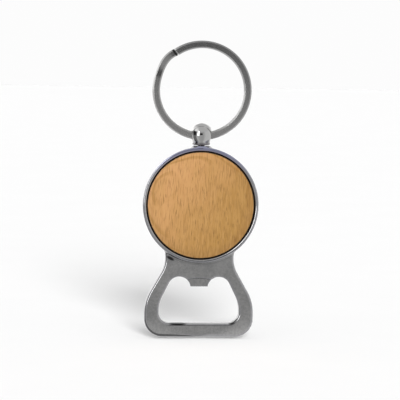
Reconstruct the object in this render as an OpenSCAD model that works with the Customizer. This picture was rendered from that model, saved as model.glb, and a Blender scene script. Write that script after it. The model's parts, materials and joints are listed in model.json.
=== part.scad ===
// Keychain bottle opener: a cast opener with a round wooden inlay, hung by a
// swivelling ball on a split ring. Millimetres, Z up, drawn hanging at rest.
// The front, with the wood, faces -Y. The origin is the point inside the top of
// the split ring where a hook or a finger carries it.

/* [Split ring] */
// Outside diameter of the split ring
ring_d = 30; // [29:0.5:32]
// Radial width of the flat wire
wire_w = 2.1; // [1.8:0.1:2.2]
// Thickness of the flat wire, one turn
wire_t = 1.12; // [1:0.02:1.2]
// Where the front turn ends, in degrees from +X towards +Z
ring_end = 124; // [110:1:140]

/* [Swivel ball] */
// Diameter of the ball
ball_d = 7.1; // [6.8:0.1:7.6]
// Width of the ball across its two side flats
ball_flats = 5.9; // [5.7:0.1:6.2]
// Diameter of the cross bore that the ring runs through
cross_d = 3.7; // [3.6:0.05:3.8]
// Diameter of the swivel stud under the ball
stud_d = 1.9; // [1.6:0.1:2]

/* [Cup and wooden disc] */
// Outside diameter of the round cup
cup_d = 35.1; // [34.5:0.1:36]
// Diameter of the wooden disc
wood_d = 32.5; // [31.5:0.1:32.6]
// Thickness of the wooden disc
wood_t = 1.6; // [1.4:0.1:1.7]

/* [Opener foot] */
// Width across the waist under the cup
waist_w = 20.8; // [20:0.1:21.5]
// Greatest width of the foot
foot_w = 33.2; // [32.6:0.1:34]
// Thickness of the foot plate
foot_t = 3.6; // [3:0.1:4]
// Height of the bar under the opening
bar_h = 4.05; // [3.6:0.05:4.6]

/* [Opening] */
// Greatest width of the opening
opening_w = 24.4; // [23.5:0.1:24.8]
// Radius of the lobe on each side of the tooth
lobe_r = 3.45; // [3.2:0.05:3.5]
// Distance from the middle to each lobe's centre
lobe_x = 6.05; // [5.9:0.05:6.3]

/* [Hidden] */
$fn = 96;
fine = 180;
eps = 0.01;

// Heights, measured down from the hanging point.
ring_r = ring_d / 2;
ring_z = wire_w - ring_r;
wire_mid_r = ring_r - wire_w / 2;
cross_z = ring_z - wire_mid_r;
ball_z = cross_z + 0.5;
cup_z = cross_z - 20.7;
foot_z = cup_z - 40.35;

// Depths, with y = 0 on the swivel axis.
back_y = 2.2;
rim_y = -3.2;
floor_y = -1.6;
foot_y = back_y - foot_t;
glue_t = 0.1;

// Split ring: over step_angle the wire steps from the front turn to the rear one.
step_angle = 32;
turn_gap = 0.06;
step_overlap = 0.5;

// Swivel: a stud under the ball, its tail peened over a washer inside the cup.
boss_r = 2.6;
boss_flare = 0.9;
boss_z = cup_z + cup_d / 2 + 0.4;
skirt_r = 2.65;
skirt_z = boss_z + 0.15;
stud_play = 0.06;
washer_r = 1.5;
washer_t = 0.35;
washer_play = 0.15;
tail_r = 1.4;
tail_h = 0.7;
tail_chamfer = 0.3;
pocket_r = 1.65;
pocket_h = 2.3;
pocket_z = cup_z + 15.7;
washer_z = pocket_z - washer_play - washer_t;

// Cup: straight behind the rim, then drawn in towards the back.
cup_r = cup_d / 2;
rim_depth = 2;
cup_draft = 0.9;
recess_r = wood_d / 2 + 0.15;
wood_edge = 0.35;
glue_margin = 0.6;

// Foot outline: a hollow waist, a straight flank and a round shoulder.
waist_r = 9;
waist_at = [waist_w / 2 + waist_r, cup_z - 16.3];
shoulder_r = 13.5;
shoulder_at = [foot_w / 2 - shoulder_r, cup_z - 33.15];
corner_r = 5.5;
corner_at = [foot_w / 2 - corner_r, foot_z + corner_r];
neck_x = waist_w / 2 + 0.8;
neck_z = cup_z - sqrt(pow(cup_r - 0.2, 2) - pow(neck_x, 2));

// Opening outline: two lobes, a straight flank and a wide lower corner.
lobe_at = [lobe_x, cup_z - 25.5];
inner_r = 10;
inner_at = [opening_w / 2 - inner_r, cup_z - 32.5];
inner_corner_r = 3.4;
bar_z = foot_z + bar_h;
inner_corner_at = [opening_w / 2 - inner_corner_r, bar_z + inner_corner_r];

// Tooth between the lobes, with its front stepped back to a thinner lip.
tooth_z = lobe_at[1] + 0.5;
tooth_half_w = lobe_x - sqrt(pow(lobe_r, 2) - pow(tooth_z - lobe_at[1], 2));
lip_z = cup_z - 22.35;
lip_r = 14;
lip_step = 0.6;

// Direction, seen from circle a, of the point where a straight line leaves it
// for circle b. The reach is the sum of the radii when the line crosses between
// the circles, or their difference when it lies along one side of both.
function leaving_angle(a, b, reach) =
    let (v = b - a) atan2(v[1], v[0]) - acos(reach / norm(v));

function on_circle(centre, r, angle) = centre + r * [cos(angle), sin(angle)];

// The right half of an outline, joined to its mirror image.
function both_halves(right) =
    concat(right, [for (i = [len(right) - 1 : -1 : 0]) [-right[i][0], right[i][1]]]);

// An outline of the XZ plane as a plate between two depths.
module plate(y_front, y_back) {
    translate([0, y_back, 0]) rotate([90, 0, 0])
        linear_extrude(y_back - y_front) children();
}

// A round solid on the cup's own axis, between two depths.
module turned(y_front, y_back, r_front, r_back) {
    translate([0, y_back, cup_z]) rotate([90, 0, 0])
        cylinder(h = y_back - y_front, r1 = r_back, r2 = r_front, $fn = fine);
}

// The same circle on the right and on the left of the middle.
module circle_pair(centre, r) {
    for (side = [-1, 1])
        translate([side * centre[0], centre[1]]) circle(r, $fn = fine);
}

// The stretch of such circles from their widest point up to the angle given.
module shoulders(centre, r, angle) {
    intersection() {
        circle_pair(centre, r);
        translate([-foot_w, centre[1]]) square([2 * foot_w, r * sin(angle)]);
    }
}

module foot_outline() {
    flank = leaving_angle(shoulder_at, waist_at, shoulder_r + waist_r);
    difference() {
        union() {
            polygon(both_halves([
                [waist_w / 2, cup_z],
                [neck_x, neck_z],
                on_circle(waist_at, waist_r, flank + 180),
                on_circle(shoulder_at, shoulder_r, flank),
                [foot_w / 2, shoulder_at[1]],
                [foot_w / 2, corner_at[1]],
                corner_at,
                [corner_at[0], foot_z],
            ]));
            shoulders(shoulder_at, shoulder_r, flank);
            circle_pair(corner_at, corner_r);
        }
        circle_pair(waist_at, waist_r);
    }
}

module opening_outline() {
    flank = leaving_angle(inner_at, lobe_at, inner_r - lobe_r);
    polygon(both_halves([
        [tooth_half_w, tooth_z],
        lobe_at,
        on_circle(lobe_at, lobe_r, flank),
        on_circle(inner_at, inner_r, flank),
        [opening_w / 2, inner_at[1]],
        inner_corner_at,
        [inner_corner_at[0], bar_z],
    ]));
    shoulders(inner_at, inner_r, flank);
    circle_pair(lobe_at, lobe_r);
    circle_pair(inner_corner_at, inner_corner_r);
}

// Boss on top of the cup, no thicker than the cup's straight back.
module boss() {
    base_z = cup_z + recess_r;
    intersection() {
        union() {
            translate([0, 0, base_z]) cylinder(h = boss_z - base_z, r = boss_r);
            translate([0, 0, base_z])
                cylinder(h = boss_z - base_z - 0.2, r1 = boss_r + boss_flare, r2 = boss_r);
        }
        translate([-cup_r, back_y - 2 * boss_r, base_z]) cube([cup_d, 2 * boss_r, cup_r]);
    }
}

module opener_body() {
    color("dimgray")
    difference() {
        union() {
            turned(rim_y, rim_y + rim_depth, cup_r, cup_r);
            turned(rim_y + rim_depth, back_y, cup_r, cup_r - cup_draft);
            plate(foot_y, back_y) foot_outline();
            boss();
        }
        // recess for the wooden disc
        turned(rim_y - 1, floor_y, recess_r, recess_r);
        // bore for the stud
        translate([0, 0, pocket_z - eps])
            cylinder(h = boss_z - pocket_z + 1, d = stud_d + 2 * stud_play);
        // pocket for the washer and the peened tail, open to the recess
        translate([0, 0, pocket_z - pocket_h]) cylinder(h = pocket_h, r = pocket_r);
        translate([-pocket_r, floor_y - eps, pocket_z - pocket_h])
            cube([2 * pocket_r, eps - floor_y, pocket_h]);
        plate(foot_y - 1, back_y + 1) opening_outline();
        // the tooth's thinner lip
        plate(foot_y - 1, foot_y + lip_step)
            intersection() {
                translate([0, lip_z - lip_r]) circle(lip_r, $fn = fine);
                translate([-lobe_x, tooth_z - 1]) square([2 * lobe_x, lip_z - tooth_z + 1]);
            }
    }
}

module wood_disc() {
    back = floor_y - glue_t;
    front = back - wood_t;
    r = wood_d / 2;
    color("burlywood")
    union() {
        turned(front + wood_edge, back, r, r);
        turned(front, front + wood_edge, r - wood_edge, r);
    }
}

module adhesive_disc() {
    r = wood_d / 2 - glue_margin;
    color("ivory")
    difference() {
        turned(floor_y - glue_t, floor_y, r, r);
        // cut away over the stud's pocket
        translate([-pocket_r, floor_y - 1, pocket_z - pocket_h]) cube([2 * pocket_r, 2, cup_r]);
    }
}

module swivel_ball() {
    color("lightgray")
    difference() {
        union() {
            intersection() {
                translate([0, 0, ball_z]) sphere(d = ball_d);
                translate([-ball_flats / 2, -ball_d, skirt_z])
                    cube([ball_flats, 2 * ball_d, 2 * ball_d]);
            }
            translate([0, 0, skirt_z]) cylinder(h = ball_z - 1 - skirt_z, r = skirt_r);
            translate([0, 0, washer_z]) cylinder(h = skirt_z + 0.5 - washer_z, d = stud_d);
            // tail peened over the washer
            translate([0, 0, washer_z - tail_h])
                cylinder(h = tail_h, r1 = tail_r - tail_chamfer, r2 = tail_r);
        }
        translate([-ball_d, 0, cross_z]) rotate([0, 90, 0]) cylinder(h = 2 * ball_d, d = cross_d);
    }
}

module stud_washer() {
    color("silver")
    translate([0, 0, washer_z])
        difference() {
            cylinder(h = washer_t, r = washer_r);
            translate([0, 0, -1]) cylinder(h = washer_t + 2, d = stud_d + 2 * stud_play);
        }
}

// A stretch of the flat wire round the ring's axis, centred on a depth. The
// axis may lean about the radius through the middle of the stretch.
module wire_arc(from, to, y, lean) {
    translate([0, y, ring_z]) rotate([90, 0, 0]) rotate([0, 0, (from + to) / 2])
        rotate([lean, 0, 0]) rotate([0, 0, (from - to) / 2])
            rotate_extrude(angle = to - from, $fn = fine)
                translate([ring_r - wire_w, -wire_t / 2]) square([wire_w, wire_t]);
}

// One wire in two turns. Both turns stop on either side of the step, where the
// wire leans over from the front turn to the rear one.
module split_ring() {
    pitch = wire_t + turn_gap;
    lean = asin(pitch / (2 * wire_mid_r * sin(step_angle / 2)));
    step_end = ring_end + step_angle;
    color("gray")
    union() {
        wire_arc(step_end - 360, ring_end, -pitch / 2, 0);
        wire_arc(step_end - 360, ring_end, pitch / 2, 0);
        wire_arc(ring_end - step_overlap, step_end + step_overlap, 0, lean);
    }
}

split_ring();
swivel_ball();
stud_washer();
opener_body();
wood_disc();
adhesive_disc();
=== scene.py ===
# %% [markdown]
# # A keychain bottle opener
#
# The object is a small cast opener: a round cup with a wooden disc glued in it, a waist, and
# a wide foot with an opening that grips a crown cap. A bead turns on a stud at the top of the
# cup, and a split ring runs through the bead. The CAD frame says where every piece is. This
# lesson gives the pieces their finished shapes and their metal and wood.

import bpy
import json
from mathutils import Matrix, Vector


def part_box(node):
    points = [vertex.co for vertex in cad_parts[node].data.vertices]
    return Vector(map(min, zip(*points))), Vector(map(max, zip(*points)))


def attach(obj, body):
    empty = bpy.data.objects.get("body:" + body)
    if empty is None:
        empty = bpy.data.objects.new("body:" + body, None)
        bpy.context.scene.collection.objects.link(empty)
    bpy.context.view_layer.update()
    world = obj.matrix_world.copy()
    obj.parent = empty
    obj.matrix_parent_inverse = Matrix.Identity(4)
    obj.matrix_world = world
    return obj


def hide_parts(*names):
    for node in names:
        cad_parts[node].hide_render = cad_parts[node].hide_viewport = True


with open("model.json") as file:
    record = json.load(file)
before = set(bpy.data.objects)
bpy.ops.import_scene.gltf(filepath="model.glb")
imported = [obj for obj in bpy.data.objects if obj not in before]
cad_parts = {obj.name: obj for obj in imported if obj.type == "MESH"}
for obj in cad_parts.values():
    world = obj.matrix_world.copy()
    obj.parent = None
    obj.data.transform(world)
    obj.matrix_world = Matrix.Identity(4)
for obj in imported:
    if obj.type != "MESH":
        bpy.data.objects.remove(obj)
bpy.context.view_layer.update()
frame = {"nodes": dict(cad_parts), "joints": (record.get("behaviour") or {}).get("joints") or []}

# %% [markdown]
# ## The bench
#
# The object was measured once, for its CAD solids. Everything here takes its sizes from the
# boxes round those solids, so a finished piece can't drift away from the solid it stands for.
# Lengths are worked out in millimetres, and turned into metres only when a mesh is made.

# %% Tools of the bench
import json
import math

import bpy
import numpy as np
from mathutils import Matrix, Vector

MM = 0.001
scene = bpy.context.scene


def box_mm(node):
    """A node's lowest and highest corners in millimetres, as two arrays."""
    low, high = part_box(node)
    return np.array(low) / MM, np.array(high) / MM


body_low, body_high = box_mm("opener_body")
disc_low, disc_high = box_mm("wood_disc")
ball_low, ball_high = box_mm("swivel_ball")
ring_low, ring_high = box_mm("split_ring")
washer_low, washer_high = box_mm("stud_washer")

# %% [markdown]
# ## Casting, part 1: a shape as a distance
#
# A zinc casting has no sharp edge anywhere: the molten metal leaves every edge rounded and
# every inner corner filled. Bevels on a meshed part with curved walls are hard to keep clean.
# A distance field is easier. It is a function that says how far a point is from the surface,
# negative inside the metal. Two shapes join with a soft minimum, which makes the fillet by
# itself, and a plate gets round edges by measuring from a smaller plate and adding the radius.
# All lengths here are millimetres.

# %% Distances that build the casting
def soft_min(a, b, blend):
    """The smaller of two distances, with a fillet of about that size between them."""
    share = np.maximum(blend - abs(a - b), 0) / blend
    return np.minimum(a, b) - share * share * blend / 4


def soft_max(a, b, blend):
    """The larger of two distances: the second shape trims the first with a soft edge."""
    return -soft_min(-a, -b, blend)


def outline_distance(points, u, v):
    """Signed distance from (u, v) to a closed outline, negative inside."""
    nearest, inside = np.inf, False
    for (ax, ay), (bx, by) in zip(points, np.roll(points, -1, axis=0)):
        ex, ey = bx - ax, by - ay
        along = np.clip(((u - ax) * ex + (v - ay) * ey) / (ex * ex + ey * ey), 0, 1)
        nearest = np.minimum(nearest, (u - ax - along * ex) ** 2 + (v - ay - along * ey) ** 2)
        if ey != 0:
            crosses = ((ay > v) != (by > v)) & (u < ax + (v - ay) * ex / ey)
            inside = inside ^ crosses
    return np.where(inside, -1, 1) * np.sqrt(nearest)


def plate_distance(flat, y, front, back, front_round, back_round):
    """A flat outline given a thickness, with its own edge radius at the front and the back."""
    middle = (front + back) / 2
    edge = np.where(y < middle, front_round, back_round)
    side = flat + edge
    face = abs(y - middle) - (back - front) / 2 + edge
    return np.minimum(np.maximum(side, face), 0) + np.hypot(np.maximum(side, 0),
                                                            np.maximum(face, 0)) - edge


print("soft corner between two walls:", round(float(soft_min(0.1, 0.1, 0.8)), 3), "mm")

# %% [markdown]
# ## Casting, part 2: from the distance to a mesh
#
# The field is sampled on a grid. In each small cell that the surface passes through, one
# point is placed at the middle of the crossings on the cell's edges, and the points of
# neighbouring cells are joined into squares. This is known as surface nets. The points are
# then slid along the field's slope until they lie exactly on the surface, and the slope is
# also each point's true normal, so the polish reflects without a ripple. A ball of 1 mm is
# the first test.

# %% Surface nets
smallest = 1e-9
projections = 2


def surface_net(distance, low, high, cell):
    """Points and four-sided faces where the distance function is zero."""
    axes = [np.arange(a - 2 * cell, b + 3 * cell, cell) for a, b in zip(low, high)]
    field = distance(axes[0][:, None, None], axes[1][None, :, None], axes[2][None, None, :])
    sums = np.zeros(field.shape + (3,))
    hits = np.zeros(field.shape)
    edges = []
    for axis in range(3):
        step = np.eye(3, dtype=int)[axis]
        start = [slice(None)] * 3
        start[axis] = slice(0, -1)
        end = [slice(None)] * 3
        end[axis] = slice(1, None)
        a, b = field[tuple(start)], field[tuple(end)]
        at = np.argwhere((a < 0) != (b < 0))
        va, vb = a[tuple(at.T)], b[tuple(at.T)]
        crossing = at + (va / (va - vb))[:, None] * step
        side = np.eye(3, dtype=int)[(axis + 1) % 3]
        up = np.eye(3, dtype=int)[(axis + 2) % 3]
        cells = [at, at - side, at - side - up, at - up]
        for c in cells:
            np.add.at(sums, tuple(c.T), crossing)
            np.add.at(hits, tuple(c.T), 1)
        edges.append((cells, va < 0))
    used = hits > 0
    number = np.cumsum(used.ravel()).reshape(used.shape) - 1
    points = sums[used] / hits[used][:, None] * cell + [a[0] for a in axes]
    faces = []
    for cells, leaving in edges:
        quad = np.stack([number[tuple(c.T)] for c in cells], axis=1)
        faces.append(np.where(leaving[:, None], quad, quad[:, ::-1]))
    return points, np.concatenate(faces)


def slope(distance, points, reach=0.02):
    """The distance and its unit gradient at each point."""
    gradient = np.stack([
        distance(*(points + reach * axis).T) - distance(*(points - reach * axis).T)
        for axis in np.eye(3)], axis=1)
    gradient /= np.maximum(np.linalg.norm(gradient, axis=1), smallest)[:, None]
    return distance(*points.T), gradient


def edge_bend(distance, points, reach=0.12, full_at=0.6):
    """How strongly the surface bends: 1 on a tight outer edge, -1 in a tight inner corner."""
    around = sum(distance(*(points + side * reach * axis).T)
                 for axis in np.eye(3) for side in (-1, 1))
    return (around - 6 * distance(*points.T)) / (reach * reach) * full_at / 2


def cast_piece(name, distance, low, high, cell, keep=1.0):
    """A mesh object of the surface, thinned on its flat parts, with true normals."""
    points, faces = surface_net(distance, low, high, cell)
    mesh = bpy.data.meshes.new(name)
    mesh.from_pydata((points * MM).tolist(), [], faces.tolist())
    piece = bpy.data.objects.new(name, mesh)
    scene.collection.objects.link(piece)
    if keep < 1:
        thin = piece.modifiers.new("thin", "DECIMATE")
        thin.ratio = keep
        made = bpy.data.meshes.new_from_object(
            piece.evaluated_get(bpy.context.evaluated_depsgraph_get()))
        piece.modifiers.remove(thin)
        piece.data = made
        bpy.data.meshes.remove(mesh)
        made.name = name
        mesh = made
    flat = np.empty(len(mesh.vertices) * 3)
    mesh.vertices.foreach_get("co", flat)
    points = flat.reshape(-1, 3) / MM
    for _ in range(projections):
        off, normal = slope(distance, points)
        points = points - np.clip(off, -cell / 2, cell / 2)[:, None] * normal
    mesh.vertices.foreach_set("co", (points * MM).ravel())
    normal = slope(distance, points)[1]
    bend = edge_bend(distance, points)
    for stored_name, amount in (("edge", bend), ("hollow", -bend)):
        stored_values = mesh.attributes.new(stored_name, "FLOAT", "POINT").data
        stored_values.foreach_set("value", np.clip(amount, 0, 1))
    mesh.update()
    mesh.polygons.foreach_set("use_smooth", [True] * len(mesh.polygons))
    mesh.normals_split_custom_set_from_vertices(normal.tolist())
    print(name, "points:", len(mesh.vertices), "faces:", len(mesh.polygons))
    return piece


def test_ball(x, y, z):
    """Distance to a ball of 1 mm radius."""
    return np.sqrt(x * x + y * y + z * z) - 1


test_points, test_faces = surface_net(test_ball, (-1, -1, -1), (1, 1, 1), 0.25)
print("test ball points:", len(test_points), "faces:", len(test_faces))

# %% [markdown]
# ## Casting, part 3: the foot's outline
#
# The foot is drawn as a maker would with compasses: a hollow waist, a straight flank, a round
# shoulder and a corner, then the same on the other side. Two circles give the straight line
# between them, so only centres and radii are stated. The opening is drawn the same way, with
# a round lobe on each side of the tooth that lifts the cap.

# %% Outline of the foot and of the opening
cup_x, cup_z = (disc_low[0] + disc_high[0]) / 2, (disc_low[2] + disc_high[2]) / 2
cup_r = (body_high[0] - body_low[0]) / 2
foot_z = body_low[2]
back_y, rim_y = body_high[1], body_low[1]
foot_w, waist_w, opening_w = 33.2, 20.8, 24.4
foot_t, bar_h = 3.6, 4.05
arc_step = 3.0


def arc(centre, r, start, end):
    """Points on a circle from one angle to another, in degrees."""
    count = max(2, round(abs(end - start) / arc_step) + 1)
    turn = np.radians(np.linspace(start, end, count))
    return [(centre[0] + r * math.cos(t), centre[1] + r * math.sin(t)) for t in turn]


def leaving_angle(a, b, reach):
    """Direction from circle a to the point where a straight line leaves it for circle b."""
    across, up = b[0] - a[0], b[1] - a[1]
    return math.degrees(math.atan2(up, across) - math.acos(reach / math.hypot(across, up)))


def both_sides(right):
    """The right half of an outline and its mirror image."""
    return np.array(right + [(-x, z) for x, z in reversed(right)])


waist_r, shoulder_r, corner_r = 9.0, 13.5, 5.5
waist_drop, shoulder_drop = 16.3, 33.15
waist_start = 180 - 15
inside_cup = [(waist_w / 2 - 2, cup_z - 6), (waist_w / 2 + 0.3, cup_z - 13)]
waist = (waist_w / 2 + waist_r, cup_z - waist_drop)
shoulder = (foot_w / 2 - shoulder_r, cup_z - shoulder_drop)
corner = (foot_w / 2 - corner_r, foot_z + corner_r)
flank = leaving_angle(shoulder, waist, shoulder_r + waist_r)
foot_outline = both_sides(
    inside_cup
    + arc(waist, waist_r, waist_start, 180 + flank)
    + arc(shoulder, shoulder_r, flank, 0)
    + arc(corner, corner_r, 0, -90))

lobe_r, inner_r, inner_corner_r = 3.45, 10.0, 3.4
lobe_x, lobe_drop, inner_drop = 6.05, 25.5, 32.5
tooth_above = 0.5
lobe = (lobe_x, cup_z - lobe_drop)
inner = (opening_w / 2 - inner_r, cup_z - inner_drop)
bar_z = foot_z + bar_h
inner_corner = (opening_w / 2 - inner_corner_r, bar_z + inner_corner_r)
tooth_z = lobe[1] + tooth_above
tooth_turn = 180 - math.degrees(math.asin((tooth_z - lobe[1]) / lobe_r))
inner_flank = leaving_angle(inner, lobe, inner_r - lobe_r)
opening_outline = both_sides(
    arc(lobe, lobe_r, tooth_turn, inner_flank)
    + arc(inner, inner_r, inner_flank, 0)
    + arc(inner_corner, inner_corner_r, 0, -90))
print("foot outline points:", len(foot_outline), "opening:", len(opening_outline))

# %% [markdown]
# ## Casting, part 4: the whole opener
#
# Now the pieces of the casting are joined: the cup with its raised rim, the foot plate, and
# the small boss that carries the swivel. The cup's recess, the stud's bore and its pocket are
# cut out. The lip of the tooth is stepped back, so that it slides under a cap's skirt.

# %% The opener's distance and its mesh
foot_y = back_y - foot_t
film_t, wood_play = 0.1, 0.15
floor_y = disc_high[1] + film_t
recess_r = (disc_high[0] - disc_low[0]) / 2 + wood_play
recess_round = 0.8
rim_depth, cup_draft = 2.0, 0.9
rim_round, edge_round, back_round = 0.45, 0.7, 0.9
hole_round = 0.2
foot_inset, foot_blend = 0.7, 0.8
boss_r, boss_z = 2.6, body_high[2]
boss_inset, boss_blend = 0.3, 1.6
boss_top_round, boss_back_round = 0.5, 0.4
stud_r, bore_overlap = 1.01, 0.1
washer_play, pocket_h = 0.15, 2.3
pocket_r, pocket_top = 1.65, washer_high[2] + washer_play
pocket_low = pocket_top - pocket_h
lip_drop, lip_step = 22.35, 0.6
lip_z, lip_r, lip_y = cup_z - lip_drop, 14.0, foot_y + lip_step
lip_overlap, lip_round = 1.0, 0.25

cup_profile = np.array([
    (-cup_r, rim_y + rim_round), (cup_r - rim_round, rim_y + rim_round),
    (cup_r - rim_round, rim_y + rim_depth),
    (cup_r - cup_draft - rim_round, back_y - rim_round), (-cup_r, back_y - rim_round)])


def opener_distance(x, y, z):
    """The whole casting."""
    out = np.hypot(x - cup_x, z - cup_z)
    cup = outline_distance(cup_profile, out, y) - rim_round
    opening = outline_distance(opening_outline, x, z)
    flat = soft_max(outline_distance(foot_outline, x, z), -opening, hole_round)
    foot = plate_distance(flat, y, foot_y, back_y, edge_round, back_round)
    root = np.maximum(cup, y - back_y + foot_inset)
    metal = np.minimum(cup, soft_min(foot, root, foot_blend))
    boss = soft_max(np.hypot(x, y) - boss_r, z - boss_z, boss_top_round)
    boss = soft_max(boss, y - back_y + boss_inset, boss_back_round)
    boss = np.maximum(boss, cup_z + recess_r - z)
    metal = soft_min(metal, boss, boss_blend)
    metal = np.maximum(metal, z - boss_z)
    metal = soft_max(metal, -np.maximum(out - recess_r, y - floor_y), recess_round)
    stud_bore = np.maximum(np.hypot(x, y) - stud_r, pocket_top - bore_overlap - z)
    pocket = np.maximum(abs(x) - pocket_r, np.maximum(y - pocket_r, z - pocket_top))
    pocket = np.maximum(pocket, pocket_low - z)
    metal = np.maximum(metal, -np.minimum(stud_bore, pocket))
    lip = np.maximum(np.hypot(x, z - lip_z + lip_r) - lip_r, y - lip_y)
    lip = np.maximum(lip, np.maximum(abs(x) - lobe[0], tooth_z - lip_overlap - z))
    return soft_max(metal, -lip, lip_round)


body_cell, body_keep = 0.24, 0.55
opener = cast_piece("opener_casting", opener_distance, body_low, body_high, body_cell, body_keep)

# %% [markdown]
# ## The swivelling bead
#
# The bead is a small ball with a flat on each side, and a short neck that stands on the boss.
# The split ring runs through its cross bore. The stud under it goes through the boss, and its
# tail is peened over a washer inside the cup. The same kind of field makes it, on a finer grid.

# %% The bead's distance and its mesh
ball_r = (ball_high[1] - ball_low[1]) / 2
ball_z = ball_high[2] - ball_r
ball_half = ball_high[0]
hinge = next(j for j in frame["joints"] if j["name"] == "ring_swing")
bore_z = hinge["pos_m"][2] / MM
bore_r = 1.85
neck_gap = 0.15
neck_r, neck_z, neck_half = 2.65, boss_z + neck_gap, 1.2
flat_round, neck_round = 0.35, 0.3
shaft_r, shaft_overlap = 0.95, 0.3
tail_r, tail_h, tail_round = 1.4, 0.7, 0.3
tail_z = washer_low[2]


def bead_distance(x, y, z):
    """Ball, neck, stud and peened tail."""
    ball = np.sqrt(x * x + y * y + (z - ball_z) ** 2) - ball_r
    ball = soft_max(ball, abs(x) - ball_half, flat_round)
    around = np.hypot(x, y)
    neck = soft_max(around - neck_r, abs(z - neck_z - neck_half) - neck_half, neck_round)
    bead = soft_min(ball, neck, neck_round)
    bead = soft_max(bead, neck_z - z, neck_round)
    bead = soft_max(bead, bore_r - np.hypot(y, z - bore_z), flat_round)
    shaft_end = abs(z - (tail_z + neck_z) / 2) - (neck_z - tail_z) / 2 - shaft_overlap
    shaft = np.maximum(around - shaft_r, shaft_end)
    tail = soft_max(around - tail_r, abs(z - tail_z + tail_h / 2) - tail_h / 2, tail_round)
    return np.minimum(bead, np.minimum(shaft, tail))


bead_cell = 0.13
bead = cast_piece("swivel_bead", bead_distance, ball_low, ball_high, bead_cell)

# %% [markdown]
# ## The wooden disc
#
# The inlay is turned from beech: a flat face that falls away gently towards its edge, so that
# fingers don't catch it. A turned piece is one profile carried round an axis, so a loop over
# angles makes it, and the two poles are single points.

# %% Turn a profile round the cup's axis
def turned_piece(name, profile, around=192):
    """A closed solid of revolution; profile is (radius, depth) from pole to pole, in mm."""
    points, faces = [], []
    for radius, depth in profile:
        if radius == 0:
            points.append((cup_x, depth, cup_z))
            continue
        for i in range(around):
            turn = 2 * math.pi * i / around
            points.append((cup_x + radius * math.cos(turn), depth, cup_z + radius * math.sin(turn)))
    rings = len(profile) - 2

    def first(ring):
        return 1 + ring * around

    for i in range(around):
        j = (i + 1) % around
        faces.append((0, 1 + i, 1 + j))
        for ring in range(rings - 1):
            a, b = first(ring), first(ring + 1)
            faces.append((a + i, b + i, b + j, a + j))
        faces.append((len(points) - 1, first(rings - 1) + j, first(rings - 1) + i))
    mesh = bpy.data.meshes.new(name)
    mesh.from_pydata([tuple(v * MM for v in p) for p in points], [], faces)
    mesh.polygons.foreach_set("use_smooth", [True] * len(mesh.polygons))
    piece = bpy.data.objects.new(name, mesh)
    scene.collection.objects.link(piece)
    print(name, "faces:", len(mesh.polygons))
    return piece


wood_r = (disc_high[0] - disc_low[0]) / 2
wood_front, wood_back = disc_low[1], disc_high[1]
margin, margin_drop, edge_r = 3.6, 0.42, 0.3
face_rings = 24
edge_turns = np.radians([15, 30, 45, 60, 75, 90])
rise = [(wood_r - edge_r) * i / face_rings for i in range(face_rings + 1)]


def face_depth(radius):
    """Depth of the wood's face: flat in the middle, falling over the margin."""
    into = max(0.0, (radius - (wood_r - margin)) / margin)
    return wood_front + margin_drop * into * into


wood_profile = [(r, face_depth(r)) for r in rise]
edge_at = face_depth(rise[-1]) + edge_r
wood_profile += [(wood_r - edge_r + edge_r * math.sin(t), edge_at - edge_r * math.cos(t))
                 for t in edge_turns]
wood_profile += [(wood_r, wood_back), (0, wood_back)]
wood = turned_piece("wood_inlay", wood_profile)

# %% [markdown]
# ## One small class for node work
#
# Both geometry and materials are built from nodes here. Wiring them by hand hides the idea
# in plumbing, so a small class wraps a socket: arithmetic on it adds Math nodes, and its node
# method adds any other kind. A line such as 1 - mask * 0.5 then reads as it would on paper.

# %% Sockets that do arithmetic
class Flow:
    """A node socket that takes part in Python expressions."""

    def __init__(self, socket=None, tree=None):
        self.socket = socket
        self.tree = tree or socket.id_data

    def node(self, kind, settings=None, inputs=None, output=0):
        """Adds a node: its settings first, then its inputs from values or links."""
        made = self.tree.nodes.new(kind)
        for key, value in (settings or {}).items():
            if key == "stops":
                fill_ramp(made.color_ramp, value)
            else:
                setattr(made, key, value)
        for key, value in (inputs or {}).items():
            if isinstance(value, Flow):
                self.tree.links.new(value.socket, made.inputs[key])
            else:
                made.inputs[key].default_value = value
        return Flow(made.outputs[output]) if len(made.outputs) else made

    def split(self, spot):
        """The three coordinates of a point."""
        parts = self.node("ShaderNodeSeparateXYZ", {}, {0: spot}).socket.node.outputs
        return [Flow(part) for part in parts]

    def math(self, operation, *values):
        """A Math node on these values."""
        return self.node("ShaderNodeMath", {"operation": operation}, dict(enumerate(values)))

    def __add__(self, other):
        return self.math("ADD", self, other)

    def __radd__(self, other):
        return self.math("ADD", other, self)

    def __sub__(self, other):
        return self.math("SUBTRACT", self, other)

    def __rsub__(self, other):
        return self.math("SUBTRACT", other, self)

    def __mul__(self, other):
        return self.math("MULTIPLY", self, other)

    def __rmul__(self, other):
        return self.math("MULTIPLY", other, self)


def fill_ramp(ramp, stops):
    """Sets a colour ramp's stops from (place, colour) pairs."""
    while len(ramp.elements) < len(stops):
        ramp.elements.new(1.0)
    for element, (place, colour) in zip(ramp.elements, stops):
        element.position = place
        element.color = (*colour, 1)


print("sockets now add, subtract and multiply")

# %% [markdown]
# ## Metals
#
# Plated metal isn't one colour. The plating varies a little in thickness, handling leaves
# hair-fine scratches that show only as roughness, the edges get a painted highlight, and the
# corners get painted shade. The scratches are noise stretched thin in three directions
# and cut off at its peaks. The edges come from the bend that was stored on each casting.

# %% Helpers for every material
METRE_MM = 1 / MM
mark_turns, mark_fade = (25, 78, 141), 0.06


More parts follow.
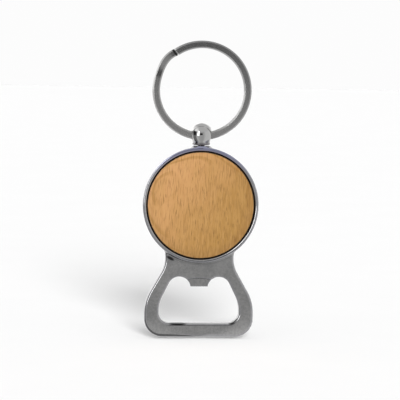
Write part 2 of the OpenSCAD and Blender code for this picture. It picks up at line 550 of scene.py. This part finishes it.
def coordinates(flow, centre=(0, 0, 0), turn=(0, 0, 0), scale=(1, 1, 1)):
    """Object coordinates in millimetres, centred, turned, and then scaled along the turned axes."""
    spot = flow.node("ShaderNodeTexCoord", output="Object")
    spot = flow.node("ShaderNodeVectorMath", {"operation": "SUBTRACT"},
                     {0: spot, 1: tuple(c * MM for c in centre)})
    spot = flow.node("ShaderNodeMapping", {"vector_type": "POINT"},
                     {"Vector": spot, "Rotation": turn})
    return flow.node("ShaderNodeVectorMath", {"operation": "MULTIPLY"},
                     {0: spot, 1: tuple(s * METRE_MM for s in scale)})


def noise(flow, spot, detail=3.0, rough=0.55, size=1.0):
    """Soft noise with features about `size` millimetres across."""
    return flow.node("ShaderNodeTexNoise", {}, {
        "Vector": spot, "Scale": 1 / size, "Detail": detail, "Roughness": rough}, "Fac")


def ramp(flow, value, low, high):
    """0 below low, 1 above high, smooth between."""
    return flow.node("ShaderNodeMapRange", {"interpolation_type": "SMOOTHSTEP"}, {
        "Value": value, "From Min": low, "From Max": high}, "Result")


def mix(flow, first, second, share):
    """A mix of two colours."""
    return flow.node("ShaderNodeMix", {"data_type": "RGBA"}, {0: share, 6: first, 7: second}, 2)


def scratches(flow, centre, length=5.0, width=0.035, cut=0.70):
    """Hair-fine marks in three directions on the front plane."""
    marks = 0.0
    for turn in mark_turns:
        spot = coordinates(flow, centre, (0, math.radians(turn), 0),
                           (1 / length, 1 / length, 1 / width))
        marks = ramp(flow, noise(flow, spot, 1.0), cut, cut + mark_fade) + marks
    return flow.math("MINIMUM", marks, 1.0)


def start_material(name, metallic=1.0):
    """A new material, a flow on its tree, and its main shader."""
    material = bpy.data.materials.new(name)
    material.use_nodes = True
    shader = material.node_tree.nodes["Principled BSDF"]
    shader.inputs["Metallic"].default_value = metallic
    return material, Flow(tree=material.node_tree), shader


def feed(flow, shader, **links):
    """Connects values to the shader's sockets; base_color becomes Base Color, and so on."""
    for key, value in links.items():
        flow.tree.links.new(value.socket, shader.inputs[key.replace("_", " ").title()])


def bumped(flow, height, strength, depth_mm):
    """A normal bent by a height."""
    return flow.node("ShaderNodeBump", {}, {
        "Height": height, "Strength": strength, "Distance": depth_mm * MM}, "Normal")


def grey(value, warm=0.0):
    """A grey with a little warmth."""
    return (value * (1 + warm), value, value * (1 - warm), 1)


def bend_masks(flow):
    """The edge and hollow values that were stored on each casting."""
    edge = flow.node("ShaderNodeAttribute", {"attribute_name": "edge"}, output="Fac")
    hollow = flow.node("ShaderNodeAttribute", {"attribute_name": "hollow"}, output="Fac")
    return edge, hollow


print("a warm grey:", [round(part, 3) for part in grey(0.5, 0.02)])

# %% [markdown]
# ## Gunmetal plate
#
# The casting is tumbled, polished and plated with a dark nickel. The plate is a little cloudy,
# its edges get a painted highlight and its inner corners painted shade. Close to the boss the
# upper edges get a bluish painted reflection, and three places get black painted reflections.
# Each of these is one mask, laid over the plate in the order of the work.

# %% Gunmetal plate on the casting
# black painted reflections at three places on the casting
dark_reflection_spots = [   # (across, up, half length, half width, turn in degrees)
    (-6.4, -84.0, 3.3, 0.62, 0),
    (10.6, -83.2, 1.9, 0.85, 36),
    (-8.9, -63.9, 1.7, 0.60, -28)]
dark_reflection_y, dark_reflection_depth = -0.6, 2.4
dark_reflection_full, dark_reflection_gone = 0.55, 1.05
plate_dark, plate_light = grey(0.37), grey(0.53, 0.01)
cloud_mm, fine_mm, skin_mm = 7.0, 0.6, 1.6
cloud_share, fine_share = 0.55, 0.45
# the edges get a painted highlight
edge_highlight_grey, edge_highlight_least, edge_highlight_fine = (0.52, 0.52, 0.57, 1), 0.35, 0.5
# the inner corners get painted shade
corner_shade, corner_shade_share = grey(0.14), 0.7
# a bluish painted reflection on the upper edges, near the boss
upper_edge_reflection_blue, upper_reflection_share = (0.42, 0.43, 0.62, 1), 0.8
upper_reflection_low, upper_reflection_wander = 0.45, 2.0
# the black of the painted reflections, and how strong they are
dark_reflection_black, dark_reflection_least, dark_reflection_cloud = grey(0.015), 0.88, 0.12
plate_rough = 0.06
skin_strength, skin_depth = 0.25, 0.01


def painted_dark_reflections(flow):
    """Painted dark reflections at three places on the casting."""
    total = 0.0
    for across, up, half_long, half_wide, turn in dark_reflection_spots:
        spot = coordinates(flow, (across, dark_reflection_y, up), (0, math.radians(turn), 0),
                           (1 / half_long, 1 / dark_reflection_depth, 1 / half_wide))
        away = flow.node("ShaderNodeVectorMath", {"operation": "LENGTH"}, {0: spot}, "Value")
        total = 1 - ramp(flow, away, dark_reflection_full, dark_reflection_gone) + total
    return flow.math("MINIMUM", total, 1.0)


def gunmetal():
    """Dark plate with painted edge highlights, painted corner shade and a bluish painted reflection
    by the boss.
    """
    material, flow, shader = start_material("gunmetal_plate")
    centre = (cup_x, 0, cup_z)
    spot = coordinates(flow, centre)
    cloud = noise(flow, spot, 4.0, size=cloud_mm)
    fine = noise(flow, spot, 5.0, size=fine_mm)
    marks = scratches(flow, centre)
    edge, hollow = bend_masks(flow)
    cloudy = ramp(flow, cloud * cloud_share + fine * fine_share, 0.3, 0.7)
    plate = mix(flow, plate_dark, plate_light, cloudy)
    # a painted highlight on the edges, then painted shade in the inner corners
    surface_tone = mix(flow, plate, edge_highlight_grey, edge * (edge_highlight_least + edge_highlight_fine * fine))
    polish = mix(flow, surface_tone, corner_shade, hollow * corner_shade_share)
    # a bluish painted reflection on the upper edges, then the black painted reflections
    up = flow.split(spot)[2]
    high = ramp(flow, up + cloud * upper_reflection_wander, cup_r * upper_reflection_low, cup_r)
    polish = mix(flow, polish, upper_edge_reflection_blue, high * ramp(flow, edge, 0.02, 0.2) * upper_reflection_share)
    polish = mix(flow, polish, dark_reflection_black, painted_dark_reflections(flow) * (dark_reflection_least + dark_reflection_cloud * cloud))
    rough = (plate_rough + cloud * 0.05 + fine * 0.03 + marks * 0.10 + hollow * 0.08
             - edge * 0.03)
    skin = noise(flow, spot, 2.0, size=skin_mm) + fine * 0.15 - marks * 0.25
    feed(flow, shader, base_color=polish, roughness=rough,
         normal=bumped(flow, skin, skin_strength, skin_depth))
    print("gunmetal nodes:", len(flow.tree.nodes))
    return material


body_metal = gunmetal()

# %% [markdown]
# ## Bright plate
#
# The bead is turned from bar, polished and plated like chrome, so it is lighter and clearer
# than the casting. Its neck sits in the shade of the boss, painted as a dark tone with a little
# purple in it, and its edges and corners get a painted highlight and painted shade. Only the
# light and the dark value change from one bright part to another, so they are handed to the
# function.

# %% Bright plate on the bead
bead_light, bead_dark, bead_rough = 0.62, 0.12, 0.05
bead_cloud_mm, bead_fine_mm = 2.2, 0.25
bead_mark_long, bead_mark_wide = 2.5, 0.03
# the second value sets how much lighter the painted highlight on the edges is
cloud_loss, edge_highlight_gain = 0.94, 1.25
# the painted shade round the neck: where it is full and gone, its share and its tint
neck_shade_full, neck_shade_gone, neck_shade_share = 0.4, 1.3, 0.75
neck_shade_green = 0.86
bead_skin, bead_skin_depth = 0.15, 0.004


def bright_plate(name, light, dark, centre):
    """Clear bright plate: painted highlight on its edges, painted shade in its corners and round
    the neck.
    """
    material, flow, shader = start_material(name)
    spot = coordinates(flow, centre)
    cloud = noise(flow, spot, 3.0, size=bead_cloud_mm)
    fine = noise(flow, spot, 4.0, size=bead_fine_mm)
    marks = scratches(flow, centre, bead_mark_long, bead_mark_wide)
    edge, hollow = bend_masks(flow)
    plate = mix(flow, grey(light * cloud_loss), grey(light, 0.01), cloud)
    # a painted highlight on the edges, then painted shade in the corners
    edge_highlight = grey(min(1, light * edge_highlight_gain), 0.02)
    surface_tone = mix(flow, plate, edge_highlight, edge * (0.3 + 0.4 * fine))
    plate = mix(flow, surface_tone, grey(dark), hollow * 0.8)
    # painted shade round the neck, under the ball
    up = flow.split(spot)[2]
    low = neck_z - ball_z
    neck = 1 - ramp(flow, up + cloud * 0.3, low + neck_shade_full, low + neck_shade_gone)
    plate = mix(flow, plate, (dark, dark * neck_shade_green, dark, 1), neck * neck_shade_share)
    rough = bead_rough + cloud * 0.03 + fine * 0.02 + marks * 0.10 + hollow * 0.15
    feed(flow, shader, base_color=plate, roughness=rough,
         normal=bumped(flow, fine - marks * 0.3, bead_skin, bead_skin_depth))
    print(name, "nodes:", len(flow.tree.nodes))
    return material


bead_metal = bright_plate("bead_bright_plate", bead_light, bead_dark, (0, 0, ball_z))

# %% [markdown]
# ## Spring steel
#
# The ring's wire is rolled flat before it is wound, so its fine lines follow the coil. Noise
# stretched along the angle and narrow across the wire gives such lines. At the cut end a thin
# painted highlight lies on the cut edge, with a painted shadow in the gap beside it. Both are
# narrow bands round one angle. The wire also gets painted shade towards its upper right.

# %% Spring steel of the ring
ring_z = (ring_low[2] + ring_high[2]) / 2
wire_w = 2.25
line_width, line_length = 9.0, 2.0
# the angle where the painted shade on the ring is deepest
shaded_side_turn = math.radians(62)
# the plain steel, and the grey of its painted shade
ring_light, ring_shaded_grey = grey(0.49, 0.01), grey(0.37)
ring_cloud_mm, ring_cloudy, cloud_amount = 3.0, grey(0.50), 0.20
ring_mark_long, ring_mark_wide, ring_mark_cut = 3.0, 0.03, 0.68
mark_bright, mark_amount = grey(0.60, 0.02), 0.4
cut_turn = math.radians(124.4)
# a painted shadow in the gap beside the cut end, and a painted highlight on the cut edge
gap_shadow_after, gap_shadow_full, gap_shadow_gone = 0.039, 0.012, 0.030
cut_highlight_full, cut_highlight_gone = 0.006, 0.018
gap_shadow_black, cut_highlight_bright = grey(0.02), grey(0.95)
ring_rough = 0.13
ring_skin, ring_skin_depth = 0.2, 0.006


def ring_steel():
    """Rolled spring steel: fine lines along the coil, painted shade at the upper right, and a
    painted highlight and shadow at the cut end.
    """
    material, flow, shader = start_material("ring_spring_steel")
    spot = coordinates(flow, (0, 0, ring_z))
    x, y, z = flow.split(spot)
    out = flow.math("SQRT", x * x + z * z)
    turn = flow.math("ARCTAN2", z, x)
    rolled = flow.node("ShaderNodeCombineXYZ", {}, {
        0: out * line_width, 1: y * line_width, 2: turn * line_length})
    lines = noise(flow, rolled, 3.0)
    cloud = noise(flow, spot, 3.0, size=ring_cloud_mm)
    marks = scratches(flow, (0, 0, ring_z), ring_mark_long, ring_mark_wide, ring_mark_cut)
    # painted shade: the wire is darker towards its upper right
    side = ramp(flow, flow.math("COSINE", turn - shaded_side_turn) + cloud * 0.5, -0.3, 1.3)
    steel = mix(flow, ring_light, ring_shaded_grey, side)
    steel = mix(flow, steel, ring_cloudy, cloud * cloud_amount)
    surface_tone = mix(flow, steel, mark_bright, marks * mark_amount)
    # a painted shadow in the gap beside the cut end, and a painted highlight on the cut edge
    from_gap_shadow = flow.math("ABSOLUTE", turn - cut_turn - gap_shadow_after)
    from_cut_highlight = flow.math("ABSOLUTE", turn - cut_turn)
    gap_shadow = 1 - ramp(flow, from_gap_shadow, gap_shadow_full, gap_shadow_gone)
    cut_highlight = 1 - ramp(flow, from_cut_highlight, cut_highlight_full, cut_highlight_gone)
    surface_tone = mix(flow, surface_tone, gap_shadow_black, gap_shadow * 0.9)
    surface_tone = mix(flow, surface_tone, cut_highlight_bright, cut_highlight * 0.8)
    rough = ring_rough + lines * 0.08 + cloud * 0.05 + marks * 0.08
    feed(flow, shader, base_color=surface_tone, roughness=rough,
         normal=bumped(flow, lines - marks * 0.3, ring_skin, ring_skin_depth))
    print("ring steel nodes:", len(flow.tree.nodes))
    return material


ring_metal = ring_steel()

# %% [markdown]
# ## Beech
#
# Beech is known by its flecks: short dark dashes, the ends of its rays, all running with the
# grain. Below them lie wide soft bands of growth and a fine straight grain. The face is oiled,
# so it has a low sheen, and the tone drifts from a pinker to a more golden wood. The pinker
# upper left is also painted lighter, as painted light, and the margin gets painted shade away
# from it. A thin painted shadow runs round the rim, where the disc meets the cup.

# %% Oiled beech
# the wood's two tones; the pinker one is also lighter, as painted light towards the upper left
shaded_golden, lit_pink = (0.212, 0.108, 0.022, 1), (0.362, 0.187, 0.074, 1)
band_tone, arc_tone = (0.228, 0.120, 0.026, 1), (0.205, 0.098, 0.018, 1)
# the first is the painted shade on the margin
margin_shade_tone, pale_grain = (0.165, 0.080, 0.018, 1), (0.40, 0.235, 0.088, 1)
# the second is the dark of the painted shadow round the rim
fleck_tone, rim_shadow_tone = (0.092, 0.040, 0.008, 1), (0.012, 0.007, 0.004, 1)
lean = (0, math.radians(-3), 0)
drift_mm = 22.0
layer_scale, grain_scale, dash_scale = (0.16, 2.6, 0.09), (3.0, 1, 0.14), (6.2, 0.3, 0.42)
dash_stagger = 0.41
arc_depth, arc_drift, arc_across = 17.0, 26.0, 0.35
# where the painted shadow round the rim starts and where it is full
rim_shadow_from, rim_shadow_to = wood_r - 0.26, wood_r - 0.04
margin_from, margin_to = wood_r - 4.2, wood_r - 0.5
wood_gloss, wood_rough = 0.35, 0.42
grain_strength, grain_depth = 0.25, 0.03


def beech():
    """Oiled beech: upright grain, growth arcs, flecks, painted light and shade, and a painted
    shadow round the rim.
    """
    material, flow, shader = start_material("oiled_beech", 0.0)
    centre = (cup_x, wood_front, cup_z)
    spot = coordinates(flow, centre)
    across, deep, up = flow.split(spot)
    drift = noise(flow, spot, 1.0, size=drift_mm)
    layers = noise(flow, coordinates(flow, centre, lean, layer_scale), 2.0)
    bands = ramp(flow, layers, 0.42, 0.60)
    grain = noise(flow, coordinates(flow, centre, lean, grain_scale), 4.0)
    dash_x, dash_y, dash_z = flow.split(coordinates(flow, centre, lean, dash_scale))
    staggered = flow.node("ShaderNodeCombineXYZ", {}, {
        0: dash_x, 1: dash_y, 2: dash_z + dash_x * dash_stagger})
    flecks = ramp(flow, noise(flow, staggered, 0.6), 0.57, 0.67)
    rings = flow.math("SINE", deep * arc_depth + drift * arc_drift + across * arc_across)
    arcs = ramp(flow, rings, 0.35, 0.95)
    out = flow.math("SQRT", across * across + up * up)
    # a painted shadow: a thin dark ring round the rim, where the disc meets the cup
    rim_shadow = ramp(flow, out + grain * 0.2, rim_shadow_from, rim_shadow_to)
    margin = ramp(flow, out, margin_from, margin_to)
    # painted light: lighter and pinker towards the upper left, with painted shade on the margin
    # away from it
    slant = across * -0.75 + up * 0.65 + drift * 8.0 - 4.0
    lit_corner_tone = ramp(flow, slant, -14.0, 20.0)
    tone = mix(flow, shaded_golden, lit_pink, lit_corner_tone)
    tone = mix(flow, tone, band_tone, bands * 0.30)
    tone = mix(flow, tone, arc_tone, arcs * (0.14 + 0.66 * margin))
    tone = mix(flow, tone, margin_shade_tone, margin * (1.15 - lit_corner_tone) * 0.50)
    tone = mix(flow, tone, pale_grain, ramp(flow, grain, 0.34, 0.66) * 0.30)
    tone = mix(flow, tone, fleck_tone, flecks * 0.62)
    tone = mix(flow, tone, rim_shadow_tone, rim_shadow)
    shader.inputs["Specular IOR Level"].default_value = wood_gloss
    rough = wood_rough + grain * 0.12 + flecks * 0.10
    feed(flow, shader, base_color=tone, roughness=rough,
         normal=bumped(flow, grain * 0.6 - flecks, grain_strength, grain_depth))
    print("beech nodes:", len(flow.tree.nodes))
    return material


wood_finish = beech()

# %% [markdown]
# ## Plain steel and adhesive film
#
# Two pieces sit inside the cup and are seen only when the opener is taken apart. The washer is
# stamped from plain steel, a little dull and uneven. The film is a white double-sided tape,
# with fibres that run one way. They still get a true finish, because a part is reused in
# pieces too.

# %% Plain steel and adhesive film, inside the cup
washer_dark, washer_light, washer_rough = grey(0.42), grey(0.55, 0.02), 0.28
film_cream, film_white, film_rough = (0.66, 0.64, 0.58, 1), (0.78, 0.77, 0.72, 1), 0.5
washer_mm, film_mm, fibre_mm, fibre_stretch = 0.7, 4.0, 0.5, 0.2


def washer_steel():
    """Plain stamped steel, a little uneven."""
    material, flow, shader = start_material("washer_plain_steel")
    spot = coordinates(flow)
    cloud = noise(flow, spot, 4.0, size=washer_mm)
    steel = mix(flow, washer_dark, washer_light, cloud)
    feed(flow, shader, base_color=steel, roughness=washer_rough + cloud * 0.15,
         normal=bumped(flow, cloud, 0.2, 0.01))
    return material


def adhesive_film():
    """White double-sided film with fibres in it."""
    material, flow, shader = start_material("white_adhesive_film", 0.0)
    spot = coordinates(flow)
    cloud = noise(flow, spot, 3.0, size=film_mm)
    fibres = noise(flow, coordinates(flow, scale=(1, 1, fibre_stretch)), 3.0, size=fibre_mm)
    film = mix(flow, film_cream, film_white, cloud)
    feed(flow, shader, base_color=film, roughness=film_rough + fibres * 0.2,
         normal=bumped(flow, fibres, 0.3, 0.02))
    return material


washer_metal, film_finish = washer_steel(), adhesive_film()
print("materials:", len(bpy.data.materials))

# %% [markdown]
# ## The split ring
#
# A split ring is one length of flat spring wire wound twice round. The front turn runs almost
# the whole way, then the wire leans over to the rear turn and runs round again. Its shape
# follows a rule, so Geometry Nodes make it: a line of points is bent onto the coil by each
# point's own place along the line, and a small rounded section is swept along it. Every size
# is a named input of the tree.

# %% Sizes of the coil
ring_sizes = {
    "Radius": (ring_high[0] - wire_w / 2) * MM,
    "Centre height": ring_z * MM,
    "Wire width": wire_w * MM,
    "Wire thickness": 1.12 * MM,
    "Turn pitch": 1.18 * MM,
    "Start angle": math.radians(124),
    "Step angle": math.radians(42),
    "Flat face": 1.45 * MM,
    "Edge fullness": 0.95,
    "Pinch": 0.50,
    "Outward": 0.40 * MM,
    "Nose": math.radians(2.2),
    "Points": 640,
}
profile_points = 72
lean_early, nose_least, nose_rest = 1.6, 0.45, 0.55
print("ring sizes:", {name: round(value, 4) for name, value in ring_sizes.items()})

# %% [markdown]
# ## The coil's tree
#
# The tree works in four steps. A line of points is made. Each point is placed on the coil, and
# in the step it leans over to the rear turn, swings outward a little and grows thinner. A
# circle is pressed into the wire's section, with a flat in the middle of each face and slopes
# to its edges. Last, the section is swept along the coil, closed at both ends.

# %% The coil as a node tree
def coil_tree(material):
    """Geometry Nodes tree of the split ring."""
    tree = bpy.data.node_groups.new("split_ring_coil", "GeometryNodeTree")
    for name, value in ring_sizes.items():
        kind = "NodeSocketInt" if isinstance(value, int) else "NodeSocketFloat"
        tree.interface.new_socket(name, in_out="INPUT", socket_type=kind).default_value = value
    tree.interface.new_socket("Geometry", in_out="OUTPUT", socket_type="NodeSocketGeometry")
    flow = Flow(tree=tree)
    entry = tree.nodes.new("NodeGroupInput").outputs
    given = {name: Flow(entry[name]) for name in ring_sizes}
    line = flow.node("GeometryNodeCurvePrimitiveLine")
    dots = flow.node("GeometryNodeResampleCurve", {}, {"Curve": line, "Count": given["Points"]})
    along = flow.node("GeometryNodeSplineParameter", output="Factor")
    step = given["Step angle"]
    one_turn = 2 * math.pi - step
    whole = one_turn * 2.0 + step
    gone = along * whole
    angle = given["Start angle"] - gone
    part = flow.math("DIVIDE", gone - one_turn, step)
    part = flow.math("MINIMUM", flow.math("MAXIMUM", part, 0.0), 1.0)
    bell = flow.math("SINE", flow.math("POWER", part, lean_early) * math.pi)
    lean = flow.node("ShaderNodeMapRange", {"interpolation_type": "SMOOTHERSTEP"}, {
        "Value": gone, "From Min": one_turn, "From Max": one_turn + step,
        "To Min": given["Turn pitch"] * -0.5, "To Max": given["Turn pitch"] * 0.5}, "Result")
    radius = given["Radius"] + bell * given["Outward"]
    place = flow.node("ShaderNodeCombineXYZ", {}, {
        0: flow.math("COSINE", angle) * radius, 1: lean,
        2: flow.math("SINE", angle) * radius + given["Centre height"]})
    coil = flow.node("GeometryNodeSetPosition", {}, {"Geometry": dots, "Position": place})
    upright = flow.node("GeometryNodeSetCurveNormal", {"mode": "FREE"},
                        {"Curve": coil, "Normal": (0, 1, 0)})
    to_end = flow.math("MINIMUM", gone, whole - gone)
    nose = flow.math("MINIMUM", flow.math("DIVIDE", to_end, given["Nose"]), 1.0)
    nose = nose_least + nose_rest * flow.math("SQRT", nose * (2.0 - nose))
    pinched = flow.node("GeometryNodeSetCurveRadius", {}, {
        "Curve": upright, "Radius": nose * (1.0 - bell * given["Pinch"])})
    circle = flow.node("GeometryNodeCurvePrimitiveCircle", {}, {
        "Resolution": profile_points, "Radius": 1.0})
    round_x, round_y, _ = flow.split(flow.node("GeometryNodeInputPosition"))

    # the profile's first coordinate is the wire's depth, the second its width: the faces are
    # flat in the middle and slope away to the edges
    across = round_y * given["Wire width"] * 0.5
    past_flat = flow.math("MAXIMUM", flow.math("ABSOLUTE", across) - given["Flat face"] * 0.5, 0.0)
    share = flow.math("DIVIDE", past_flat, (given["Wire width"] - given["Flat face"]) * 0.5)
    left_over = flow.math("MAXIMUM", 1.0 - share, 0.0)
    depth = flow.math("POWER", left_over, given["Edge fullness"]) * given["Wire thickness"] * 0.5
    oval = flow.node("ShaderNodeCombineXYZ", {}, {
        0: flow.math("SIGN", round_x) * depth, 1: across})
    soft = flow.node("GeometryNodeSetPosition", {}, {"Geometry": circle, "Position": oval})
    wire = flow.node("GeometryNodeCurveToMesh", {}, {
        "Curve": pinched, "Profile Curve": soft, "Fill Caps": True})
    smooth = flow.node("GeometryNodeSetShadeSmooth", {}, {"Geometry": wire})
    plain = flow.node("GeometryNodeRealizeInstances", {}, {"Geometry": smooth})
    coated = flow.node("GeometryNodeSetMaterial", {}, {"Geometry": plain, "Material": material})
    tree.links.new(coated.socket, tree.nodes.new("NodeGroupOutput").inputs["Geometry"])
    return tree


def plain_from_nodes(name, tree, sizes):
    """Runs a tree on an empty mesh and keeps its result as a plain mesh."""
    piece = bpy.data.objects.new(name, bpy.data.meshes.new(name))
    scene.collection.objects.link(piece)
    maker = piece.modifiers.new("maker", "NODES")
    maker.node_group = tree
    for item in tree.interface.items_tree:
        if item.in_out == "INPUT":
            maker[item.identifier] = sizes[item.name]
    made = bpy.data.meshes.new_from_object(
        piece.evaluated_get(bpy.context.evaluated_depsgraph_get()))
    piece.modifiers.remove(maker)
    piece.data = made
    print(name, "faces:", len(made.polygons))
    return piece


coil = plain_from_nodes("split_ring_coil", coil_tree(ring_metal), ring_sizes)

# %% [markdown]
# ## Give every piece its finish, its body and its CAD node
#
# A piece rides on the body it moves with, and stands in for the CAD node it details. The
# washer and the film are hidden inside the cup, so the CAD solids stay, with a finish of
# their own.

# %% Dress and attach
for piece, finish in ((opener, body_metal), (bead, bead_metal), (wood, wood_finish),
                      (frame["nodes"]["stud_washer"], washer_metal),
                      (frame["nodes"]["adhesive_disc"], film_finish)):
    piece.data.materials.clear()
    piece.data.materials.append(finish)

for piece, body, node, slot in ((coil, "ring", "split_ring", "ring_steel"),
                                (bead, "ball", "swivel_ball", "ball_chrome"),
                                (opener, "opener", "opener_body", "body_gunmetal"),
                                (wood, "opener", "wood_disc", "wood")):
    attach(piece, body)
    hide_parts(node)
    print(piece.name, "rides on", body)

# %% [markdown]
# ## Floor and sky
#
# A polished object is a picture of the room around it, so the room is built first. The floor is
# white paper and the sky gives an even light. Polish sees something else: a list of bright and
# dark directions all the way round, as a row of windows and walls would be. The sky tells the
# two apart by the kind of ray that asks for its light.

# %% Floor and sky
floor_half, floor_gap = 2200, 0.75
floor_z = foot_z - floor_gap
paper_grey, paper_white, paper_mm = (0.88, 0.88, 0.88, 1), (0.90, 0.90, 0.90, 1), 30.0
paper_rough = 0.8
sky_light, sky_seen = 0.798, 0.976
back_share = 0.8
high_least, high_left = 0.60, 0.55

# what polish sees around the object: (azimuth, brightness), azimuth 0 in front, left negative
room = [(-180, 1.3), (-102, 1.7), (-95, 0.03), (-58, 0.03), (-52, 0.62), (-32, 0.55), (-14, 0.44),
        (18, 0.44), (40, 0.66), (114, 0.72), (124, 0.8), (180, 0.9)]
brightest = 4.0


def stage_card(name, corners, finish):
    """A four-cornered card that belongs to the stage."""
    mesh = bpy.data.meshes.new(name)
    mesh.from_pydata([tuple(v * MM for v in c) for c in corners], [], [(0, 1, 2, 3)])
    card = bpy.data.objects.new(name, mesh)
    card.data.materials.append(finish)
    scene.collection.objects.link(card)
    return card


def flat_corners(half, height):
    """The corners of a level square round the object."""
    return [(-half, -half, height), (half, -half, height), (half, half, height),
            (-half, half, height)]


def floor_finish():
    """White paper without a shine."""
    material, flow, shader = start_material("studio_floor", 0.0)
    paper = noise(flow, coordinates(flow), 3.0, size=paper_mm)
    shade = mix(flow, paper_grey, paper_white, paper)
    shader.inputs["Specular IOR Level"].default_value = 0.0
    feed(flow, shader, base_color=shade, roughness=paper_rough + paper * 0.1)
    return material


def around_room(flow, across, depth):
    """Brightness of the room in the direction of a point."""
    turn = flow.math("ARCTAN2", across, 0.0 - depth) * (0.5 / math.pi) + 0.5
    stops = [(azimuth / 360 + 0.5, [light / brightest] * 3) for azimuth, light in room]
    return flow.node("ShaderNodeValToRGB", {"stops": stops}, {"Fac": turn}) * brightest


stage_card("floor", flat_corners(floor_half, floor_z), floor_finish())
world = bpy.data.worlds.new("studio_sky")
scene.world = world
world.use_nodes = True
sky = Flow(tree=world.node_tree)
rays = sky.node("ShaderNodeLightPath").socket.node.outputs
seen, glossy = Flow(rays["Is Camera Ray"]), Flow(rays["Is Glossy Ray"])
across, depth, up = sky.split(sky.node("ShaderNodeTexCoord", output="Generated"))
back_high = ramp(sky, depth, 0.1, 0.6) * ramp(sky, up, 0.25, 0.6)
soft = sky_light * (1 - back_high * back_share)
high = ramp(sky, up, 0.45, 0.6)
high_light = high_least + high_left * ramp(sky, 0.0 - across, 0.3, 0.7)
polish = around_room(sky, across, depth)
polish = polish + high * (high_light - polish)
strength = soft + glossy * (polish - soft)
strength = strength + seen * (sky_seen - strength)
background = world.node_tree.nodes["Background"]
world.node_tree.links.new(strength.socket, background.inputs["Strength"])
background.inputs["Color"].default_value = (1, 1, 1, 1)
print("sky light:", sky_light, "directions in the room:", len(room))

# %% [markdown]
# ## Lamp
#
# One lamp, so far away that its rays run side by side, lights the whole floor evenly. Its
# spread of 20 degrees makes the shadow soft. Polish doesn't see it, because a lamp's disc in
# the metal would be a spot that no window makes.

# %% Lamps
key_azimuth, key_elevation, key_spread, key_strength = 5, 20.5, 20, 4.0


def direction(azimuth, elevation):
    """The way from the object towards an azimuth and an elevation, in degrees."""
    a, e = math.radians(azimuth), math.radians(elevation)
    return Vector((math.sin(a) * math.cos(e), -math.cos(a) * math.cos(e), math.sin(e)))


def far_lamp(name, azimuth, elevation, spread, strength):
    """A lamp so far away that the whole floor gets the same light; spread sets its softness."""
    data = bpy.data.lights.new(name, "SUN")
    data.angle = math.radians(spread)
    data.energy = strength
    light = bpy.data.objects.new(name, data)
    scene.collection.objects.link(light)
    way = direction(azimuth, elevation)
    light.rotation_euler = (-way).to_track_quat("-Z", "Y").to_euler()
    return light


key = far_lamp("key_lamp", key_azimuth, key_elevation, key_spread, key_strength)
key.visible_glossy = False
print("lamp:", key.name, "strength", key.data.energy)

# %% [markdown]
# ## Cards
#
# Three cards are seen only in reflections. A tall bright window at the left draws the long
# light on the bead and the rims. A dark one stands where the maker stands, and gives the metal
# its darker middle. The third lies on the floor and repeats the room's light, because a plain
# white floor would make every lower edge too bright.

# %% Cards seen only in reflections
floor_least, floor_limit = 0.20, 1.0
card_lift = 0.2
mirror_half = floor_half - 100
standing_cards = [   # (name, azimuths from and to, heights from and to, distance, brightness)
    ("left_window", -41, -25, -80, 300, 420, 3.6),
    ("maker", -17, 9, -18, 175, 630, 0.01)]


def reflected_only(name, corners, light):
    """A glowing card that only polished metal sees; light may be a number or "room"."""
    material = bpy.data.materials.new(name)
    material.use_nodes = True
    flow = Flow(tree=material.node_tree)
    if light == "room":
        across, depth, _ = flow.split(flow.node("ShaderNodeTexCoord", output="Object"))
        light = flow.math("MINIMUM", around_room(flow, across, depth), floor_limit)
        light = flow.math("MAXIMUM", light, floor_least)
    glow = flow.node("ShaderNodeEmission", {}, {"Strength": light})
    flow.tree.links.new(glow.socket, flow.tree.nodes["Material Output"].inputs["Surface"])
    card = stage_card(name, corners, material)
    for kind in ("camera", "diffuse", "shadow", "transmission", "volume_scatter"):
        setattr(card, "visible_" + kind, False)
    return card


def toward(azimuth, distance, height):
    """A point at an azimuth and distance on the stage; azimuth 0 is the front."""
    a = math.radians(azimuth)
    return (math.sin(a) * distance, -math.cos(a) * distance, height)


def standing_card(name, start, end, low, high, distance, light):
    """An upright card between two azimuths and two heights."""
    corners = [toward(start, distance, low), toward(end, distance, low),
               toward(end, distance, high), toward(start, distance, high)]
    return reflected_only(name, corners, light)


for card_sizes in standing_cards:
    card = standing_card(*card_sizes)
    print(card.name, "stands at", card_sizes[5], "mm")
reflected_only("floor_in_polish", flat_corners(mirror_half, floor_z + card_lift), "room")

# %% [markdown]
# ## Camera
#
# A long lens from 650 mm away keeps the ring and the foot in proportion. The camera stands a
# little to the left and above, so that the rim shows its depth, and is turned by almost one
# degree.

# %% Camera
camera_azimuth, camera_elevation, camera_roll = -4.0, 5.0, 0.95
camera_distance, field_mm, aim_up, aim_x = 650, 121.46, 1.37, -0.08
data = bpy.data.cameras.new("camera")
data.lens = data.sensor_width * camera_distance / field_mm
camera = bpy.data.objects.new("camera", data)
scene.collection.objects.link(camera)
scene.camera = camera
way = direction(camera_azimuth, camera_elevation)
aim = Vector((aim_x * MM, 0, (cup_z + aim_up) * MM))
camera.location = aim + way * camera_distance * MM
turned = (-way).to_track_quat("-Z", "Y").to_matrix().to_4x4()
camera.rotation_euler = (turned @ Matrix.Rotation(math.radians(camera_roll), 4, "Z")).to_euler()
data.clip_start, data.clip_end = 0.05, 10
scene.view_settings.view_transform = "Standard"
print("lens:", round(data.lens, 1), "mm")
